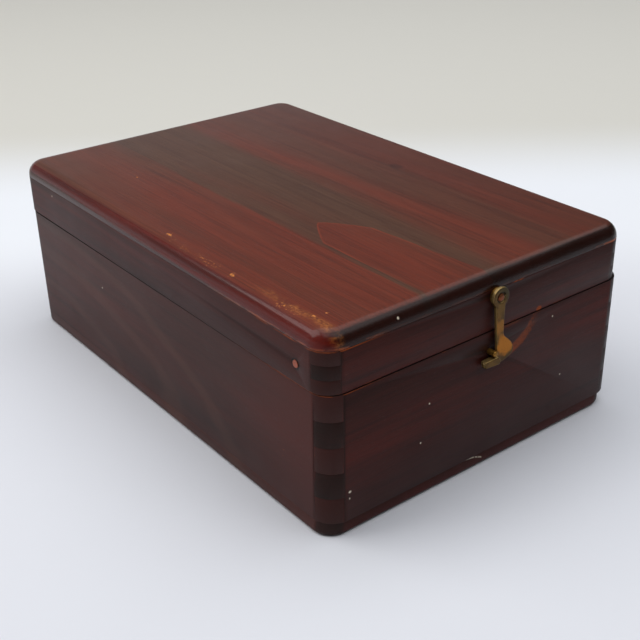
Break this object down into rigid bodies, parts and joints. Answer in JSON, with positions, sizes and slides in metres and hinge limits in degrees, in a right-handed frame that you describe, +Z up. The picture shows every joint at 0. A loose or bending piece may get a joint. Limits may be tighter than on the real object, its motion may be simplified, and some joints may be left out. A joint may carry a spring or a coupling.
{
  "type": "fountain pen case",
  "caption": "Rectangular wooden pen case with rounded finger-jointed corners, bullnosed hinged lid, brass swing hook, and a lift-out grooved pen tray over a divided compartment.",
  "frame": {"origin": "in the plane of the base board's underside, midway between the walls' outer faces", "axes": "+Z up, +Y from the hook's face to the hinges, +X to the right seen from the hook's side"},
  "size_m": [0.2008, 0.31, 0.1076],
  "materials": {
    "mahogany": "worn shellac, satin",
    "peg_wood": "end grain dowel",
    "cedar": "bare planed wood",
    "aged_brass": "tarnished, rubbed bright on the edges",
    "copper": "reddish tarnish",
    "velvet": "pile",
    "felt": "pressed felt"
  },
  "bodies": {
    "case_body": {"base_board": "mahogany", "body_front_wall": "mahogany", "body_back_wall": "mahogany", "body_left_wall": "mahogany", "body_right_wall": "mahogany", "liner_left": "cedar", "liner_right": "cedar", "liner_front": "cedar", "liner_back": "cedar", "floor_lining": "felt", "divider_long": "cedar", "divider_cross_1": "cedar", "divider_cross_2": "cedar", "latch_catch_pin": "aged_brass", "hinge_left_body_leaf": "aged_brass", "hinge_left_pin": "aged_brass", "hinge_left_body_screw_a": "aged_brass", "hinge_left_body_screw_b": "aged_brass", "hinge_right_body_leaf": "aged_brass", "hinge_right_pin": "aged_brass", "hinge_right_body_screw_a": "aged_brass", "hinge_right_body_screw_b": "aged_brass"},
    "lid": {"lid_top_board": "mahogany", "lid_front_rail": "mahogany", "lid_back_rail": "mahogany", "lid_left_rail": "mahogany", "lid_right_rail": "mahogany", "lid_pad": "velvet", "lid_corner_peg": "peg_wood", "latch_washer": "aged_brass", "latch_pivot_screw": "copper", "hinge_left_lid_leaf": "aged_brass", "hinge_left_lid_screw_a": "aged_brass", "hinge_left_lid_screw_b": "aged_brass", "hinge_right_lid_leaf": "aged_brass", "hinge_right_lid_screw_a": "aged_brass", "hinge_right_lid_screw_b": "aged_brass"},
    "latch_hook_body": {"latch_hook": "aged_brass"},
    "pen_tray": {"tray_base": "cedar", "tray_front": "cedar", "tray_back": "cedar", "tray_left": "cedar", "tray_right": "cedar", "tray_partition": "cedar", "pen_bed": "velvet", "well_lining": "velvet"}
  },
  "joints": [
    {"name": "lid_hinge", "type": "hinge", "parent": "case_body", "child": "lid", "pos_m": [0, 0.1527, 0.0768], "axis": [-1, 0, 0], "range_deg": [0, 180]},
    {"name": "latch_swing", "type": "hinge", "parent": "lid", "child": "latch_hook_body", "pos_m": [0.0028, -0.152, 0.0956], "axis": [0, -1, 0], "range_deg": [0, 100]},
    {"name": "tray_lift", "type": "slide", "parent": "case_body", "child": "pen_tray", "axis": [0, 0, 1], "range_m": [0, 0.018]}
  ]
}
